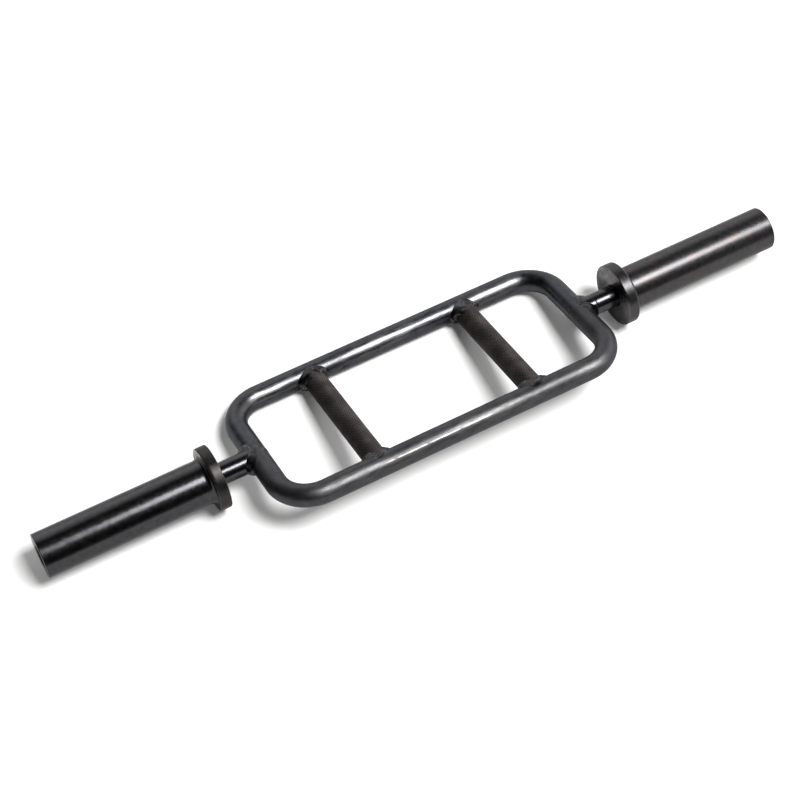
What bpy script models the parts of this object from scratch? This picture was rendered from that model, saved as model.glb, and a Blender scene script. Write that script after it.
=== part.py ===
"""Triceps bar for 50 mm plates: a bent frame with two cross grips and two turning sleeves.

The bar lies along X with its middle at X = 0. It is modelled as it rests on a floor at Z = 0,
standing on both flanges with the frame swung down until its far side (+Y) touches the floor.
"""
import math

import bmesh
import bpy
from mathutils import Vector

# Frame, in metres. Width and length are measured between centrelines.
BAR_DIAMETER = 0.0254
FRAME_LENGTH = 0.400
FRAME_WIDTH = 0.175
BEND_RADIUS = 0.040

# Grips
GRIP_SPACING = 0.1915
KNURL_DIAMETER = 0.026
KNURL_END_STEP = 0.0006

# Neck, sleeve and flange
NECK_REACH = 0.0343
FLANGE_DIAMETER = 0.072
FLANGE_THICKNESS = 0.0125
FLANGE_EDGE = 0.0008
SLEEVE_DIAMETER = 0.050
LOADABLE_LENGTH = 0.1905
SLEEVE_EDGE = 0.0010
SPIGOT_LENGTH = 0.003
SPIGOT_WALL = 0.004

# Bearing of the sleeve on the end shaft
JOURNAL_STEP = 0.0025
BUSHING_WALL = 0.0026
BUSHING_LENGTH = 0.025
RELIEF_CLEARANCE = 0.001
THRUST_WASHER_THICKNESS = 0.002

# End fixing of the sleeve, hidden in the recess
BOLT_DIAMETER = 0.010
BOLT_LENGTH = 0.030
BOLT_HEAD_FLATS = 0.016
BOLT_HEAD_HEIGHT = 0.0064
BOLT_HEAD_DEPTH = 0.008
BOLT_HOLE_SPARE = 0.003
LOCK_WASHER_DIAMETER = 0.018
LOCK_WASHER_THICKNESS = 0.0022
LOCK_WASHER_SPLIT = 0.002
RETAINING_WASHER_THICKNESS = 0.003

# Welds: bead radius, and how far the bead stands proud where the surfaces run on level
GRIP_WELD_RADIUS = 0.006
GRIP_WELD_CROWN = 0.001
SHAFT_WELD_RADIUS = 0.004
SHAFT_WELD_CROWN = 0.001
SEAM_WELD_RADIUS = 0.003
SEAM_WELD_CROWN = 0.0012
SEAM_WELD_STANDOFF = 0.001
FLANGE_WELD_LEG = 0.0045
FLANGE_WELD_TOE = 0.0004
FLANGE_WELD_RECESS = 0.0006

# Clearances
SEAT_GAP = 0.0003
RUNNING_CLEARANCE = 0.0001
NECK_CLEARANCE = 0.0005
SADDLE_LIP = 0.0002
END_FLOAT = 0.0003

# Facets of the round shapes
LARGE_SIDES = 40
SMALL_SIDES = 32
BAR_BEVEL_RESOLUTION = 8
WELD_BEVEL_RESOLUTION = 2
BEND_STEPS = 9
WELD_STEPS = 24
SEAM_STEPS = 12
FILLET_STEPS = 3
MERGE_DISTANCE = 0.00001

# Radii that follow from the sizes above
bar_radius = BAR_DIAMETER / 2
neck_radius = bar_radius - SADDLE_LIP
grip_end_radius = bar_radius - SADDLE_LIP
knurl_radius = KNURL_DIAMETER / 2
flange_radius = FLANGE_DIAMETER / 2
sleeve_radius = SLEEVE_DIAMETER / 2
journal_radius = neck_radius - JOURNAL_STEP
bushing_bore_radius = journal_radius + RUNNING_CLEARANCE
bushing_radius = bushing_bore_radius + BUSHING_WALL
counterbore_radius = bushing_radius + SEAT_GAP
relief_radius = journal_radius + RELIEF_CLEARANCE
spigot_radius = counterbore_radius + SPIGOT_WALL
weld_inner_radius = sleeve_radius + SEAT_GAP
weld_outer_radius = weld_inner_radius + FLANGE_WELD_LEG
flange_bore_radius = neck_radius + NECK_CLEARANCE
bolt_radius = BOLT_DIAMETER / 2
bolt_hole_radius = bolt_radius + SEAT_GAP

# Places along the bar, measured outwards from its middle
frame_end = FRAME_LENGTH / 2
flange_inner_face = frame_end + bar_radius + NECK_REACH
flange_outer_face = flange_inner_face + FLANGE_THICKNESS
weld_seat = flange_outer_face - FLANGE_WELD_RECESS
sleeve_shoulder = weld_seat + SEAT_GAP
sleeve_inner_end = sleeve_shoulder - SPIGOT_LENGTH
sleeve_outer_end = flange_outer_face + LOADABLE_LENGTH
flange_seat = sleeve_inner_end - SEAT_GAP
thrust_washer_outer = sleeve_inner_end - SEAT_GAP
thrust_washer_inner = thrust_washer_outer - THRUST_WASHER_THICKNESS
neck_shoulder = thrust_washer_inner - SEAT_GAP
inner_bushing_end = sleeve_inner_end + BUSHING_LENGTH
inner_bore_shoulder = inner_bushing_end + SEAT_GAP
bolt_head_outer = sleeve_outer_end - BOLT_HEAD_DEPTH
bolt_head_inner = bolt_head_outer - BOLT_HEAD_HEIGHT
lock_washer_outer = bolt_head_inner - SEAT_GAP
lock_washer_inner = lock_washer_outer - LOCK_WASHER_THICKNESS
retaining_washer_outer = lock_washer_inner - SEAT_GAP
retaining_washer_inner = retaining_washer_outer - RETAINING_WASHER_THICKNESS
journal_end = retaining_washer_inner - SEAT_GAP
outer_bushing_outer = journal_end - END_FLOAT
outer_bushing_inner = outer_bushing_outer - BUSHING_LENGTH
outer_bore_shoulder = outer_bushing_inner - SEAT_GAP
bolt_tip = bolt_head_inner - BOLT_LENGTH
bolt_hole_bottom = bolt_tip - BOLT_HOLE_SPARE

# The bar's axis is as high as the flanges, and the frame leans until its far side is down
axis_height = flange_radius
half_width = FRAME_WIDTH / 2
frame_tilt = math.asin((flange_radius - bar_radius) / half_width)

SIDES = (("left", -1), ("right", 1))
ENDS = (("near", -1), ("far", 1))


def clear_scene():
    for item in list(bpy.data.objects):
        bpy.data.objects.remove(item, do_unlink=True)


def make_collection(name):
    collection = bpy.data.collections.new(name)
    bpy.context.scene.collection.children.link(collection)
    return collection


def make_material(name, colour, metallic, roughness):
    """A plain finish; the colour is linear red, green and blue."""
    material = bpy.data.materials.new(name)
    material.use_nodes = True
    shader = material.node_tree.nodes["Principled BSDF"]
    shader.inputs["Base Color"].default_value = (*colour, 1.0)
    shader.inputs["Metallic"].default_value = metallic
    shader.inputs["Roughness"].default_value = roughness
    return material


def make_empty(name, collection, tilt=0.0):
    """An empty on the bar's axis, turned about X by the tilt."""
    empty = bpy.data.objects.new(name, None)
    empty.location = (0.0, 0.0, axis_height)
    empty.rotation_euler = (tilt, 0.0, 0.0)
    collection.objects.link(empty)
    return empty


def place(name, data, collection, parent, rotation=(0.0, 0.0, 0.0)):
    item = bpy.data.objects.new(name, data)
    item.parent = parent
    item.rotation_euler = rotation
    collection.objects.link(item)
    return item


def smooth(item):
    item.data.shade_smooth()
    item.data.set_sharp_from_angle(angle=math.radians(30))


def turned(name, profile, closed, sides, material, collection, parent, rotation):
    """A turned shape: a profile of (radius, distance) points, spun about the local Z axis.

    The profile runs down its outer side, so the faces point outwards.
    """
    mesh = bpy.data.meshes.new(name)
    points = [(radius, 0.0, distance) for radius, distance in profile]
    edges = [(i, i + 1) for i in range(len(points) - 1)]
    if closed:
        edges.append((len(points) - 1, 0))
    mesh.from_pydata(points, edges, [])
    mesh.materials.append(material)
    item = place(name, mesh, collection, parent, rotation)
    screw = item.modifiers.new("turn", "SCREW")
    screw.axis = "Z"
    screw.angle = math.tau
    screw.steps = sides
    screw.render_steps = sides
    screw.use_merge_vertices = True
    screw.merge_threshold = MERGE_DISTANCE
    screw.use_smooth_shade = True
    return item


def ring(name, outer, inner, start, end, sides, material, collection, parent, rotation):
    profile = [(outer, end), (outer, start), (inner, start), (inner, end)]
    return turned(name, profile, True, sides, material, collection, parent, rotation)


def tube(name, points, radius, resolution, cyclic, material, collection, parent):
    """A round bar that follows a line of points, with closed ends."""
    curve = bpy.data.curves.new(name, "CURVE")
    curve.dimensions = "3D"
    curve.bevel_depth = radius
    curve.bevel_resolution = resolution
    curve.use_fill_caps = True
    spline = curve.splines.new("POLY")
    spline.points.add(len(points) - 1)
    for target, point in zip(spline.points, points):
        target.co = (*point, 1.0)
    spline.use_cyclic_u = cyclic
    curve.materials.append(material)
    return place(name, curve, collection, parent)


def as_mesh(curve_item, collection):
    """Replace a curve object by a mesh object in the same place, with its caps welded on."""
    bpy.context.view_layer.update()
    graph = bpy.context.evaluated_depsgraph_get()
    mesh = bpy.data.meshes.new_from_object(curve_item.evaluated_get(graph))
    shell = bmesh.new()
    shell.from_mesh(mesh)
    bmesh.ops.remove_doubles(shell, verts=shell.verts, dist=MERGE_DISTANCE)
    bmesh.ops.recalc_face_normals(shell, faces=shell.faces)
    shell.to_mesh(mesh)
    shell.free()
    name = curve_item.name
    parent = curve_item.parent
    matrix = curve_item.matrix_world.copy()
    bpy.data.objects.remove(curve_item, do_unlink=True)
    item = place(name, mesh, collection, parent)
    item.matrix_world = matrix
    return item


def hide_as_cutter(item):
    item.hide_render = True
    item.display_type = "WIRE"


def round_cutter(name, radius, centre, direction, length, collection, parent):
    """A closed cylinder about a centre, with its axis along a direction."""
    shell = bmesh.new()
    bmesh.ops.create_cone(shell, cap_ends=True, segments=LARGE_SIDES,
                          radius1=radius, radius2=radius, depth=length)
    mesh = bpy.data.meshes.new(name)
    shell.to_mesh(mesh)
    shell.free()
    item = place(name, mesh, collection, parent)
    item.rotation_euler = Vector(direction).to_track_quat("Z", "Y").to_euler()
    item.location = centre
    hide_as_cutter(item)
    return item


def box_cutter(name, centre, size, collection, parent):
    shell = bmesh.new()
    bmesh.ops.create_cube(shell, size=1.0)
    bmesh.ops.scale(shell, vec=size, verts=shell.verts)
    mesh = bpy.data.meshes.new(name)
    shell.to_mesh(mesh)
    shell.free()
    item = place(name, mesh, collection, parent)
    item.location = centre
    hide_as_cutter(item)
    return item


def combine(item, tool, operation, crosses_itself=False):
    boolean = item.modifiers.new(operation.lower(), "BOOLEAN")
    boolean.operation = operation
    boolean.solver = "EXACT"
    boolean.object = tool
    boolean.use_self = crosses_itself


def arc(centre, radius, start, end, steps):
    """Points in a plane on an arc, from one angle to another."""
    angles = [start + (end - start) * i / steps for i in range(steps + 1)]
    return [(centre[0] + radius * math.cos(a), centre[1] + radius * math.sin(a)) for a in angles]


def make_frame_half(name, side, material, collection, parent):
    """Half of the frame: one long rail, its two bends, and half of each frame end."""
    seam = SEAT_GAP / 2
    turn = frame_end - BEND_RADIUS
    rail = half_width - BEND_RADIUS
    outline = [(-frame_end, -seam)]
    outline += arc((-turn, -rail), BEND_RADIUS, math.pi, 1.5 * math.pi, BEND_STEPS)
    outline += arc((turn, -rail), BEND_RADIUS, 1.5 * math.pi, math.tau, BEND_STEPS)
    outline.append((frame_end, -seam))
    points = [(x, -side * y, 0.0) for x, y in outline]
    half = tube(name, points, bar_radius, BAR_BEVEL_RESOLUTION, False, material, collection, parent)
    half.data.twist_mode = "Z_UP"
    return half


def make_rail_cutters(collection, parent):
    """Cylinders a seat gap larger than the bar, for the saddles cut by rails and frame ends."""
    radius = bar_radius + SEAT_GAP
    cutters = {}
    for name, side in ENDS:
        centre = (0.0, side * half_width, 0.0)
        cutters[name] = round_cutter(f"cut_rail_{name}", radius, centre, (1, 0, 0),
                                     FRAME_LENGTH, collection, parent)
    for name, side in SIDES:
        centre = (side * frame_end, 0.0, 0.0)
        cutters[name] = round_cutter(f"cut_end_{name}", radius, centre, (0, 1, 0),
                                     FRAME_WIDTH, collection, parent)
    return cutters


def make_grip(name, x, material, collection, cutters, parent):
    """A cross grip: knurled middle, plain ends, and a saddle cut by each rail."""
    knurl_end = half_width - bar_radius - GRIP_WELD_RADIUS - SEAT_GAP
    step_end = knurl_end + KNURL_END_STEP
    profile = [(0.0, half_width), (grip_end_radius, half_width), (grip_end_radius, step_end),
               (knurl_radius, knurl_end), (knurl_radius, -knurl_end),
               (grip_end_radius, -step_end), (grip_end_radius, -half_width), (0.0, -half_width)]
    grip = turned(name, profile, False, SMALL_SIDES, material, collection, parent,
                  (-math.pi / 2, 0.0, 0.0))
    grip.location = (x, 0.0, 0.0)
    for end, _ in ENDS:
        combine(grip, cutters[end], "DIFFERENCE")
    return grip


def saddle_path(round_radius, bead_radius, crown):
    """The line of a bead where a round bar meets the side of the frame's bar.

    Each point is (across, level, reach): across and level are on the joining bar's section, and
    reach is how far the frame bar's surface stands out from its own centreline there. The line
    sinks into the metal where both surfaces run on level, so that the bead is only a crown there.
    """
    sunk_radius = round_radius + crown - bead_radius
    points = []
    for i in range(WELD_STEPS):
        angle = math.tau * i / WELD_STEPS
        level = round_radius * math.sin(angle)
        reach = math.sqrt(bar_radius ** 2 - level ** 2)
        points.append((round_radius * math.cos(angle), sunk_radius * math.sin(angle), reach))
    return points


def make_saddle_weld(name, points, radius, material, tools, fat, collection, parent):
    """A weld bead along a saddle, cut back from the two bars that it joins.

    A fat bead is thicker than the saddle's tightest turn, so its tube crosses itself there.
    """
    bead = tube(name, points, radius, WELD_BEVEL_RESOLUTION, True, material, collection, parent)
    bead = as_mesh(bead, collection)
    smooth(bead)
    for tool in tools:
        combine(bead, tool, "DIFFERENCE", crosses_itself=fat)


def make_grip_welds(side_name, x, material, collection, cutters, cutter_collection, parent):
    grip_cutter = round_cutter(f"cut_grip_{side_name}", grip_end_radius + SEAT_GAP, (x, 0.0, 0.0),
                               (0, 1, 0), FRAME_WIDTH, cutter_collection, parent)
    path = saddle_path(grip_end_radius, GRIP_WELD_RADIUS, GRIP_WELD_CROWN)
    for end, sign in ENDS:
        points = [(x + across, sign * (half_width - reach), level) for across, level, reach in path]
        make_saddle_weld(f"grip_weld_{side_name}_{end}", points, GRIP_WELD_RADIUS, material,
                         (cutters[end], grip_cutter), True, collection, parent)


def make_shaft_weld(side_name, side, material, collection, cutters, cutter_collection, parent):
    neck_cutter = round_cutter(f"cut_neck_{side_name}", neck_radius + SEAT_GAP,
                               (side * flange_inner_face, 0.0, 0.0), (1, 0, 0),
                               2 * (flange_inner_face - frame_end), cutter_collection, parent)
    path = saddle_path(neck_radius, SHAFT_WELD_RADIUS, SHAFT_WELD_CROWN)
    points = [(side * (frame_end + reach), across, level) for across, level, reach in path]
    make_saddle_weld(f"shaft_weld_{side_name}", points, SHAFT_WELD_RADIUS, material,
                     (cutters[side_name], neck_cutter), False, collection, parent)


def make_seam_weld(side_name, side, material, collection, cutters, parent):
    """The butt weld of the two frame halves, round the inner side of a frame end.

    It stops short of the shaft's weld, which covers the rest of the seam.
    """
    saddle_depth = math.sqrt(bar_radius ** 2 - neck_radius ** 2)
    sunk = SHAFT_WELD_RADIUS - SHAFT_WELD_CROWN
    shaft_weld_half_width = math.sqrt(SHAFT_WELD_RADIUS ** 2 - sunk ** 2)
    stop = shaft_weld_half_width - saddle_depth + SEAM_WELD_STANDOFF
    half_angle = math.acos(stop / bar_radius)
    path_radius = bar_radius + SEAM_WELD_CROWN - SEAM_WELD_RADIUS
    section = arc((0.0, 0.0), path_radius, -half_angle, half_angle, SEAM_STEPS)
    points = [(side * (frame_end - inwards), 0.0, level) for inwards, level in section]
    bead = tube(f"seam_weld_{side_name}", points, SEAM_WELD_RADIUS, WELD_BEVEL_RESOLUTION,
                False, material, collection, parent)
    bead = as_mesh(bead, collection)
    smooth(bead)
    combine(bead, cutters[side_name], "DIFFERENCE")


def make_end_shaft(name, side_name, material, collection, cutters, parent, rotation):
    """The neck and, inside the sleeve, the journal with its tapped hole for the end bolt."""
    profile = [(0.0, bolt_hole_bottom), (bolt_hole_radius, bolt_hole_bottom),
               (bolt_hole_radius, journal_end), (journal_radius, journal_end),
               (journal_radius, neck_shoulder), (neck_radius, neck_shoulder),
               (neck_radius, frame_end), (0.0, frame_end)]
    shaft = turned(name, profile, False, SMALL_SIDES, material, collection, parent, rotation)
    combine(shaft, cutters[side_name], "DIFFERENCE")


def make_sleeve(name, material, collection, parent, rotation):
    """The plate sleeve: a spigot for the flange, and a bore with a counterbore at each end."""
    profile = [(sleeve_radius - SLEEVE_EDGE, sleeve_outer_end),
               (sleeve_radius, sleeve_outer_end - SLEEVE_EDGE),
               (sleeve_radius, sleeve_shoulder),
               (spigot_radius, sleeve_shoulder),
               (spigot_radius, sleeve_inner_end),
               (counterbore_radius, sleeve_inner_end),
               (counterbore_radius, inner_bore_shoulder),
               (relief_radius, inner_bore_shoulder),
               (relief_radius, outer_bore_shoulder),
               (counterbore_radius, outer_bore_shoulder),
               (counterbore_radius, sleeve_outer_end - SLEEVE_EDGE),
               (counterbore_radius + SLEEVE_EDGE, sleeve_outer_end)]
    turned(name, profile, True, LARGE_SIDES, material, collection, parent, rotation)


def make_flange(name, material, collection, parent, rotation):
    """The plate stop: a disc with broken edges, bored for the neck.

    Its outer face is recessed for the spigot and, more shallowly, for the foot of the weld.
    """
    spigot_recess = spigot_radius + SEAT_GAP
    weld_recess = weld_outer_radius + SEAT_GAP
    profile = [(flange_radius - FLANGE_EDGE, flange_outer_face),
               (flange_radius, flange_outer_face - FLANGE_EDGE),
               (flange_radius, flange_inner_face + FLANGE_EDGE),
               (flange_radius - FLANGE_EDGE, flange_inner_face),
               (flange_bore_radius, flange_inner_face),
               (flange_bore_radius, flange_seat),
               (spigot_recess, flange_seat),
               (spigot_recess, weld_seat),
               (weld_recess, weld_seat),
               (weld_recess, flange_outer_face)]
    turned(name, profile, True, LARGE_SIDES, material, collection, parent, rotation)


def make_flange_weld(name, material, collection, parent, rotation):
    """A hollow fillet in the corner between the sleeve and the flange."""
    foot = weld_seat + SEAT_GAP
    top = foot + FLANGE_WELD_LEG
    hollow = FLANGE_WELD_LEG - FLANGE_WELD_TOE
    profile = [(weld_inner_radius, top)]
    profile += arc((weld_outer_radius, top), hollow, math.pi, 1.5 * math.pi, FILLET_STEPS)
    profile += [(weld_outer_radius, foot), (weld_inner_radius, foot)]
    turned(name, profile, True, LARGE_SIDES, material, collection, parent, rotation)


def make_lock_washer(name, side, material, collection, cutter_collection, parent, rotation):
    """A split spring washer."""
    washer = ring(name, LOCK_WASHER_DIAMETER / 2, bolt_hole_radius, lock_washer_inner,
                  lock_washer_outer, SMALL_SIDES, material, collection, parent, rotation)
    middle = (lock_washer_inner + lock_washer_outer) / 2
    centre = (side * middle, 0.0, LOCK_WASHER_DIAMETER / 2)
    size = (2 * LOCK_WASHER_THICKNESS, LOCK_WASHER_SPLIT, LOCK_WASHER_DIAMETER)
    split = box_cutter(f"cut_split_{name}", centre, size, cutter_collection, parent)
    combine(washer, split, "DIFFERENCE")


def make_end_bolt(name, material, collection, cutter_collection, parent, rotation):
    """A hexagon head bolt: a turned shank, joined to a six-sided head."""
    overlap = BOLT_HEAD_HEIGHT / 2
    profile = [(0.0, bolt_head_inner + overlap), (bolt_radius, bolt_head_inner + overlap),
               (bolt_radius, bolt_tip), (0.0, bolt_tip)]
    shank = turned(f"{name}_shank", profile, False, SMALL_SIDES, material, cutter_collection,
                   parent, rotation)
    hide_as_cutter(shank)
    corner_radius = BOLT_HEAD_FLATS / math.sqrt(3)
    shell = bmesh.new()
    bmesh.ops.create_cone(shell, cap_ends=True, segments=6, radius1=corner_radius,
                          radius2=corner_radius, depth=BOLT_HEAD_HEIGHT)
    bmesh.ops.translate(shell, vec=(0.0, 0.0, bolt_head_inner + BOLT_HEAD_HEIGHT / 2),
                        verts=shell.verts)
    mesh = bpy.data.meshes.new(name)
    shell.to_mesh(mesh)
    shell.free()
    mesh.materials.append(material)
    bolt = place(name, mesh, collection, parent, rotation)
    combine(bolt, shank, "UNION")


def make_frame(collection, cutter_collection, finishes, frame_axis):
    for end, side in ENDS:
        make_frame_half(f"frame_half_{end}", side, finishes["frame"], collection, frame_axis)
    cutters = make_rail_cutters(cutter_collection, frame_axis)
    for side_name, side in SIDES:
        x = side * GRIP_SPACING / 2
        make_grip(f"grip_{side_name}", x, finishes["knurl"], collection, cutters, frame_axis)
        make_grip_welds(side_name, x, finishes["weld"], collection, cutters, cutter_collection,
                        frame_axis)
        make_seam_weld(side_name, side, finishes["weld"], collection, cutters, frame_axis)
        make_shaft_weld(side_name, side, finishes["weld"], collection, cutters,
                        cutter_collection, frame_axis)
    return cutters


def make_fixed_end(side_name, side, collection, cutter_collection, cutters, finishes, frame_axis):
    """The end shaft and the washers and bolt that stay still while the sleeve turns."""
    outwards = (0.0, side * math.pi / 2, 0.0)
    make_end_shaft(f"end_shaft_{side_name}", side_name, finishes["shaft"], collection, cutters,
                   frame_axis, outwards)
    ring(f"thrust_washer_{side_name}", flange_bore_radius - SEAT_GAP, journal_radius + SEAT_GAP,
         thrust_washer_inner, thrust_washer_outer, SMALL_SIDES, finishes["bronze"], collection,
         frame_axis, outwards)
    ring(f"retaining_washer_{side_name}", counterbore_radius - NECK_CLEARANCE, bolt_hole_radius,
         retaining_washer_inner, retaining_washer_outer, SMALL_SIDES, finishes["fastener"],
         collection, frame_axis, outwards)
    make_lock_washer(f"lock_washer_{side_name}", side, finishes["fastener"], collection,
                     cutter_collection, frame_axis, outwards)
    make_end_bolt(f"end_bolt_{side_name}", finishes["fastener"], collection, cutter_collection,
                  frame_axis, outwards)


def make_turning_end(side_name, side, collection, finishes, sleeve_axis):
    """The sleeve, its flange and its bushings, which turn together on the end shaft."""
    outwards = (0.0, side * math.pi / 2, 0.0)
    make_sleeve(f"sleeve_{side_name}", finishes["sleeve"], collection, sleeve_axis, outwards)
    make_flange(f"flange_{side_name}", finishes["sleeve"], collection, sleeve_axis, outwards)
    make_flange_weld(f"flange_weld_{side_name}", finishes["weld"], collection, sleeve_axis,
                     outwards)
    ring(f"inner_bushing_{side_name}", bushing_radius, bushing_bore_radius, sleeve_inner_end,
         inner_bushing_end, SMALL_SIDES, finishes["bronze"], collection, sleeve_axis, outwards)
    ring(f"outer_bushing_{side_name}", bushing_radius, bushing_bore_radius, outer_bushing_inner,
         outer_bushing_outer, SMALL_SIDES, finishes["bronze"], collection, sleeve_axis, outwards)


def main():
    clear_scene()
    collection = make_collection("triceps_bar")
    cutter_collection = make_collection("cutters")
    finishes = {
        "frame": make_material("black_oxide_satin", (0.040, 0.042, 0.047), 0.6, 0.42),
        "sleeve": make_material("black_oxide_semi_gloss", (0.024, 0.022, 0.023), 0.6, 0.28),
        "knurl": make_material("black_oxide_knurled", (0.025, 0.022, 0.021), 0.6, 0.60),
        "shaft": make_material("black_oxide_turned", (0.035, 0.036, 0.040), 0.8, 0.22),
        "weld": make_material("black_oxide_weld", (0.022, 0.022, 0.024), 0.6, 0.38),
        "fastener": make_material("blackened_fastener_steel", (0.05, 0.05, 0.05), 0.9, 0.35),
        "bronze": make_material("sintered_bronze", (0.42, 0.25, 0.10), 1.0, 0.45),
    }
    frame_axis = make_empty("frame_axis", collection, -frame_tilt)
    cutters = make_frame(collection, cutter_collection, finishes, frame_axis)
    for side_name, side in SIDES:
        make_fixed_end(side_name, side, collection, cutter_collection, cutters, finishes,
                       frame_axis)
        sleeve_axis = make_empty(f"sleeve_axis_{side_name}", collection)
        make_turning_end(side_name, side, collection, finishes, sleeve_axis)


main()
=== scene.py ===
import math

import bpy
import numpy as np
from mathutils import Matrix, Vector


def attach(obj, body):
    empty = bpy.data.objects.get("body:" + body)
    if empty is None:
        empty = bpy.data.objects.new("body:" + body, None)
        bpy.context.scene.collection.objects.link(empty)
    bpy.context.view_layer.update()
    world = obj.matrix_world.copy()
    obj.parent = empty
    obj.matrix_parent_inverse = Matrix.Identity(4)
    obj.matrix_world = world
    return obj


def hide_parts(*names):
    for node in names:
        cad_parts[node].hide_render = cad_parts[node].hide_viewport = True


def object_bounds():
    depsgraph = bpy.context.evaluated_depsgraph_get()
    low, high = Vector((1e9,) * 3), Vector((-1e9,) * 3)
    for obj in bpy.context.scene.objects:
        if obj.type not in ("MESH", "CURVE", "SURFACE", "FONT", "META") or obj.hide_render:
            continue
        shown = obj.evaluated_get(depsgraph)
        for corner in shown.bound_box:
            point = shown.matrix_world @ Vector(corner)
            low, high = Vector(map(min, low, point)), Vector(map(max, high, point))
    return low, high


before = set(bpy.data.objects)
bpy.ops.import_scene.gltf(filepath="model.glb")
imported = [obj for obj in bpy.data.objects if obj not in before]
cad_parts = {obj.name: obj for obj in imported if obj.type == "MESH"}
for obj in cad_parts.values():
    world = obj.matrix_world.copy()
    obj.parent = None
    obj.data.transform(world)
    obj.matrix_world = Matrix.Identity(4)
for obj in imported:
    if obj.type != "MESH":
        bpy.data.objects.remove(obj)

# Triceps bar for 50 mm plates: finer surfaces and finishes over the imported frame.
# Metres throughout, X along the bar, Z up, the far rail and both flanges on the floor at Z = 0.
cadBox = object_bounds()
print("frame loaded,", len(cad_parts), "nodes")

axisHeight = 0.036          # the sleeves' axis, one flange radius above the floor
barRadius = 0.0127          # 25.4 mm frame bar
neckRadius = 0.0125
halfWidth = 0.0875          # bar axis to rail centreline, in the frame's own plane
frameEnd = 0.200            # middle of the bar to the end tube's centreline
gripPlace = 0.09575         # middle of the bar to a grip's axis
frameTilt = -math.asin((axisHeight - barRadius) / halfWidth)
saddleGap = 0.0002          # a joining bar stops this short of the frame bar's skin
saddleRings = (0.34, 0.7, 1.0)      # rings on the end of a joining bar, as shares of its radius
smallColumns = 120          # points round the bars, the necks and the small rings
sides = (("left", -1), ("right", 1))
ends = (("near", -1), ("far", 1))


# Room points from places in the frame's plane: along X, across it towards the far rail, and square to it.
def framePoint(along, across, level):
    y = across * math.cos(frameTilt) - level * math.sin(frameTilt)
    z = axisHeight + across * math.sin(frameTilt) + level * math.cos(frameTilt)
    return np.stack(np.broadcast_arrays(along, y, z), axis=-1)


# Room points from places along the sleeves' axis, radii from it and angles round it.
def axisPoint(along, radius, around):
    y, z = radius * np.cos(around), axisHeight + radius * np.sin(around)
    return np.stack(np.broadcast_arrays(along, y, z), axis=-1)


# Angles round a section, with the last point left to the first.
def fullTurn(columns):
    return np.linspace(0, math.tau, columns, endpoint=False)


# 3t^2 - 2t^3 of t, which runs from 0 at low to 1 at high.
def smoothStep(value, low, high):
    t = np.clip((value - low) / (high - low), 0.0, 1.0)
    return t * t * (3.0 - 2.0 * t)


# Smooth noise between about -1 and 1: a sum of sines with whole-number frequencies in each of the phases.
def waves(phases, seed, count=7, roughness=0.75):
    draw = np.random.default_rng(seed)
    total = np.zeros(np.broadcast(*phases).shape)
    weight = 0.0
    for step in range(count):
        size = roughness ** step
        turns = draw.integers(1, 2 + 2 * step, len(phases)) * draw.choice((-1, 1), len(phases))
        total = total + size * np.sin(sum(n * p for n, p in zip(turns, phases)) + draw.uniform(0, math.tau))
        weight += size
    return total / (0.55 * weight)


# A closed line of (radius, distance) corners, all square, each cut by a quarter of an ellipse: an edge is
# the length taken off the side before the corner and off the side after it, or one number for both. A point
# close to each end of every straight keeps its shading flat.
def roundedProfile(corners, edges, steps=5):
    corners = np.asarray(corners, float)
    made = []
    for here in range(len(corners)):
        corner = corners[here]
        before, after = corners[here - 1] - corner, corners[(here + 1) % len(corners)] - corner
        if edges[here] == 0 or not before.any() or not after.any():
            made.append(corner)
            continue
        reach = np.minimum(edges[here], 0.45 * np.array((np.linalg.norm(before), np.linalg.norm(after))))
        toBefore = before / np.linalg.norm(before) * reach[0]
        toAfter = after / np.linalg.norm(after) * reach[1]
        made.append(corner + 1.25 * toBefore)
        for turn in np.linspace(0, math.pi / 2, steps + 1):
            made.append(corner + toBefore * (1 - math.sin(turn)) + toAfter * (1 - math.cos(turn)))
        made.append(corner + 1.25 * toAfter)
    return np.array(made)


# Four corners for each cell of a grid of points numbered row by row. Each row closes into a ring.
def gridFaces(rows, columns, closed=False):
    row = np.arange(rows if closed else rows - 1)[:, None]
    column = np.arange(columns)[None, :]
    below, right = (row + 1) % rows, (column + 1) % columns
    row, below = row * columns, below * columns
    corners = (row + column, row + right, below + right, below + column)
    return np.stack(np.broadcast_arrays(*corners), axis=-1).reshape(-1, 4)


# The faces of a grid whose first and last rings are capped, by one flat face each or by fans of triangles
# to two tips, which are the points after the grid.
def cappedFaces(rows, columns, flat=False):
    first = np.arange(columns)
    last = first + (rows - 1) * columns
    if flat:
        return [gridFaces(rows, columns), first[::-1][None, :], last[None, :]]
    tip = np.full(columns, rows * columns)
    return [gridFaces(rows, columns), np.stack((np.roll(first, -1), first, tip), axis=-1),
            np.stack((last, np.roll(last, -1), tip + 1), axis=-1)]


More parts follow.
